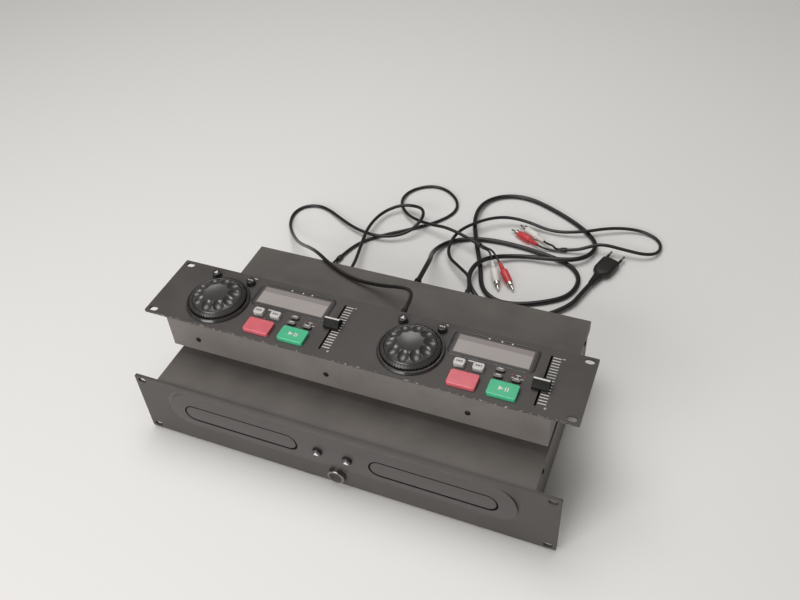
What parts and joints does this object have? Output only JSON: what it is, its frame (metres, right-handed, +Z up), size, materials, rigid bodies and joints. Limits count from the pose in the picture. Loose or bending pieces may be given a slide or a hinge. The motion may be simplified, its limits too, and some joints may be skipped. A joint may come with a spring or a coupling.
{
  "type": "twin disc player with remote controller",
  "caption": "Rack disc player drive with front loading trays, and the remote controller with jog dials, shuttle rings, pitch faders and displays that stands on its cover, with leads.",
  "frame": {"origin": "on the table, under the middle of the drive and its controller, leads not counted", "axes": "+X to the right as the user sees it, +Y to the back, +Z up"},
  "size_m": [0.5351, 0.5724, 0.1624],
  "materials": {
    "panel_paint": "satin",
    "casing_paint": "matte",
    "fascia_plastic": "satin",
    "foot_rubber": "matte",
    "grey_rubber": "matte",
    "circuit_board": "satin",
    "socket_plastic": "matte",
    "cord_rubber": "satin",
    "plug_plastic": "glossy",
    "bright_steel": "satin",
    "loader_plastic": "matte",
    "tray_plastic": "satin",
    "gear_plastic": "satin",
    "button_plastic": "satin",
    "display_window": "glossy",
    "collar_plastic": "glossy",
    "dial_plastic": "satin",
    "key_rubber": "matte",
    "cue_plastic": "translucent",
    "play_plastic": "translucent",
    "search_key_plastic": "satin"
  },
  "bodies": {
    "casing": {"audio_lead_left": "cord_rubber", "audio_lead_right": "cord_rubber", "audio_plugs": "plug_plastic", "control_lead": "cord_rubber", "control_plugs": "cord_rubber", "controller_board": "circuit_board", "controller_box": "casing_paint", "controller_feet": "grey_rubber", "controller_panel": "panel_paint", "display_windows": "display_window", "drive_base_pan": "casing_paint", "drive_fascia": "fascia_plastic", "drive_feet": "foot_rubber", "drive_front_panel": "panel_paint", "drive_rear_panel": "casing_paint", "drive_top_cover": "casing_paint", "jog_collars": "collar_plastic", "laser_units": "bright_steel", "loader_frame_left": "loader_plastic", "loader_frame_right": "loader_plastic", "loader_motors": "bright_steel", "main_board": "circuit_board", "mains_lead": "cord_rubber", "mains_plug": "cord_rubber", "mains_relief": "cord_rubber", "power_supply": "circuit_board", "rear_sockets": "socket_plastic"},
    "tray_assembly_left": {"tray_left": "tray_plastic", "tray_door_left": "fascia_plastic"},
    "gear_left": {"loader_gear_left": "gear_plastic"},
    "open_key_left": {"open_button_left": "button_plastic"},
    "jog_left": {"jog_dial_left": "dial_plastic"},
    "shuttle_left": {"shuttle_ring_left": "dial_plastic"},
    "fader_left": {"fader_cap_left": "dial_plastic"},
    "cue_key_left": {"cue_button_left": "cue_plastic"},
    "play_key_left": {"play_button_left": "play_plastic"},
    "search_back_key_left": {"search_back_button_left": "search_key_plastic"},
    "search_forward_key_left": {"search_forward_button_left": "search_key_plastic"},
    "upper_oval_key_left": {"upper_oval_button_left": "key_rubber"},
    "lower_oval_key_left": {"lower_oval_button_left": "key_rubber"},
    "outer_oval_key_left": {"outer_oval_button_left": "key_rubber"},
    "eject_key_left": {"eject_button_left": "button_plastic"},
    "select_key_left": {"select_button_left": "button_plastic"},
    "tray_assembly_right": {"tray_right": "tray_plastic", "tray_door_right": "fascia_plastic"},
    "gear_right": {"loader_gear_right": "gear_plastic"},
    "open_key_right": {"open_button_right": "button_plastic"},
    "jog_right": {"jog_dial_right": "dial_plastic"},
    "shuttle_right": {"shuttle_ring_right": "dial_plastic"},
    "fader_right": {"fader_cap_right": "dial_plastic"},
    "cue_key_right": {"cue_button_right": "cue_plastic"},
    "play_key_right": {"play_button_right": "play_plastic"},
    "search_back_key_right": {"search_back_button_right": "search_key_plastic"},
    "search_forward_key_right": {"search_forward_button_right": "search_key_plastic"},
    "upper_oval_key_right": {"upper_oval_button_right": "key_rubber"},
    "lower_oval_key_right": {"lower_oval_button_right": "key_rubber"},
    "outer_oval_key_right": {"outer_oval_button_right": "key_rubber"},
    "eject_key_right": {"eject_button_right": "button_plastic"},
    "select_key_right": {"select_button_right": "button_plastic"},
    "power_key": {"power_button": "button_plastic"}
  },
  "joints": [
    {"name": "tray_slide_left", "type": "slide", "parent": "casing", "child": "tray_assembly_left", "axis": [0, -1, 0], "range_m": [0, 0.132]},
    {"name": "gear_spin_left", "type": "hinge", "parent": "casing", "child": "gear_left", "pos_m": [-0.14294, -0.09815, 0.051], "axis": [0, 0, 1], "range_deg": [0, 606]},
    {"name": "open_press_left", "type": "slide", "parent": "casing", "child": "open_key_left", "axis": [0, 1, 0], "range_m": [0, 0.001], "stiffness_N_per_m": 400, "springref_m": -0.0005},
    {"name": "jog_turn_left", "type": "hinge", "parent": "casing", "child": "jog_left", "pos_m": [-0.17, -0.03785, 0.16], "axis": [0, 0, 1], "continuous": true},
    {"name": "shuttle_turn_left", "type": "hinge", "parent": "casing", "child": "shuttle_left", "pos_m": [-0.17, -0.03785, 0.155], "axis": [0, 0, 1], "range_deg": [-60, 60], "stiffness_Nm_per_rad": 0.03},
    {"name": "fader_slide_left", "type": "slide", "parent": "casing", "child": "fader_left", "axis": [0, 1, 0], "range_m": [-0.0311, 0.0289]},
    {"name": "cue_press_left", "type": "slide", "parent": "casing", "child": "cue_key_left", "axis": [0, 0, -1], "range_m": [0, 0.001], "stiffness_N_per_m": 300, "springref_m": -0.001},
    {"name": "play_press_left", "type": "slide", "parent": "casing", "child": "play_key_left", "axis": [0, 0, -1], "range_m": [0, 0.001], "stiffness_N_per_m": 300, "springref_m": -0.001},
    {"name": "search_back_press_left", "type": "slide", "parent": "casing", "child": "search_back_key_left", "axis": [0, 0, -1], "range_m": [0, 0.001], "stiffness_N_per_m": 300, "springref_m": -0.001},
    {"name": "search_forward_press_left", "type": "slide", "parent": "casing", "child": "search_forward_key_left", "axis": [0, 0, -1], "range_m": [0, 0.001], "stiffness_N_per_m": 300, "springref_m": -0.001},
    {"name": "upper_oval_press_left", "type": "slide", "parent": "casing", "child": "upper_oval_key_left", "axis": [0, 0, -1], "range_m": [0, 0.001], "stiffness_N_per_m": 300, "springref_m": -0.001},
    {"name": "lower_oval_press_left", "type": "slide", "parent": "casing", "child": "lower_oval_key_left", "axis": [0, 0, -1], "range_m": [0, 0.001], "stiffness_N_per_m": 300, "springref_m": -0.001},
    {"name": "outer_oval_press_left", "type": "slide", "parent": "casing", "child": "outer_oval_key_left", "axis": [0, 0, -1], "range_m": [0, 0.001], "stiffness_N_per_m": 300, "springref_m": -0.001},
    {"name": "eject_press_left", "type": "slide", "parent": "casing", "child": "eject_key_left", "axis": [0, 0, -1], "range_m": [0, 0.001], "stiffness_N_per_m": 300, "springref_m": -0.001},
    {"name": "select_press_left", "type": "slide", "parent": "casing", "child": "select_key_left", "axis": [0, 0, -1], "range_m": [0, 0.001], "stiffness_N_per_m": 300, "springref_m": -0.001},
    {"name": "tray_slide_right", "type": "slide", "parent": "casing", "child": "tray_assembly_right", "axis": [0, -1, 0], "range_m": [0, 0.132]},
    {"name": "gear_spin_right", "type": "hinge", "parent": "casing", "child": "gear_right", "pos_m": [0.07906, -0.09815, 0.051], "axis": [0, 0, 1], "range_deg": [0, 606]},
    {"name": "open_press_right", "type": "slide", "parent": "casing", "child": "open_key_right", "axis": [0, 1, 0], "range_m": [0, 0.001], "stiffness_N_per_m": 400, "springref_m": -0.0005},
    {"name": "jog_turn_right", "type": "hinge", "parent": "casing", "child": "jog_right", "pos_m": [0.058, -0.03785, 0.16], "axis": [0, 0, 1], "continuous": true},
    {"name": "shuttle_turn_right", "type": "hinge", "parent": "casing", "child": "shuttle_right", "pos_m": [0.058, -0.03785, 0.155], "axis": [0, 0, 1], "range_deg": [-60, 60], "stiffness_Nm_per_rad": 0.03},
    {"name": "fader_slide_right", "type": "slide", "parent": "casing", "child": "fader_right", "axis": [0, 1, 0], "range_m": [-0.0208, 0.0392]},
    {"name": "cue_press_right", "type": "slide", "parent": "casing", "child": "cue_key_right", "axis": [0, 0, -1], "range_m": [0, 0.001], "stiffness_N_per_m": 300, "springref_m": -0.001},
    {"name": "play_press_right", "type": "slide", "parent": "casing", "child": "play_key_right", "axis": [0, 0, -1], "range_m": [0, 0.001], "stiffness_N_per_m": 300, "springref_m": -0.001},
    {"name": "search_back_press_right", "type": "slide", "parent": "casing", "child": "search_back_key_right", "axis": [0, 0, -1], "range_m": [0, 0.001], "stiffness_N_per_m": 300, "springref_m": -0.001},
    {"name": "search_forward_press_right", "type": "slide", "parent": "casing", "child": "search_forward_key_right", "axis": [0, 0, -1], "range_m": [0, 0.001], "stiffness_N_per_m": 300, "springref_m": -0.001},
    {"name": "upper_oval_press_right", "type": "slide", "parent": "casing", "child": "upper_oval_key_right", "axis": [0, 0, -1], "range_m": [0, 0.001], "stiffness_N_per_m": 300, "springref_m": -0.001},
    {"name": "lower_oval_press_right", "type": "slide", "parent": "casing", "child": "lower_oval_key_right", "axis": [0, 0, -1], "range_m": [0, 0.001], "stiffness_N_per_m": 300, "springref_m": -0.001},
    {"name": "outer_oval_press_right", "type": "slide", "parent": "casing", "child": "outer_oval_key_right", "axis": [0, 0, -1], "range_m": [0, 0.001], "stiffness_N_per_m": 300, "springref_m": -0.001},
    {"name": "eject_press_right", "type": "slide", "parent": "casing", "child": "eject_key_right", "axis": [0, 0, -1], "range_m": [0, 0.001], "stiffness_N_per_m": 300, "springref_m": -0.001},
    {"name": "select_press_right", "type": "slide", "parent": "casing", "child": "select_key_right", "axis": [0, 0, -1], "range_m": [0, 0.001], "stiffness_N_per_m": 300, "springref_m": -0.001},
    {"name": "power_press", "type": "slide", "parent": "casing", "child": "power_key", "axis": [0, 1, 0], "range_m": [0, 0.003], "stiffness_N_per_m": 300, "springref_m": -0.001}
  ],
  "couplings": [
    {"joint": "gear_spin_left", "follows": "tray_slide_left", "rad_per_m": 80},
    {"joint": "gear_spin_right", "follows": "tray_slide_right", "rad_per_m": 80}
  ]
}
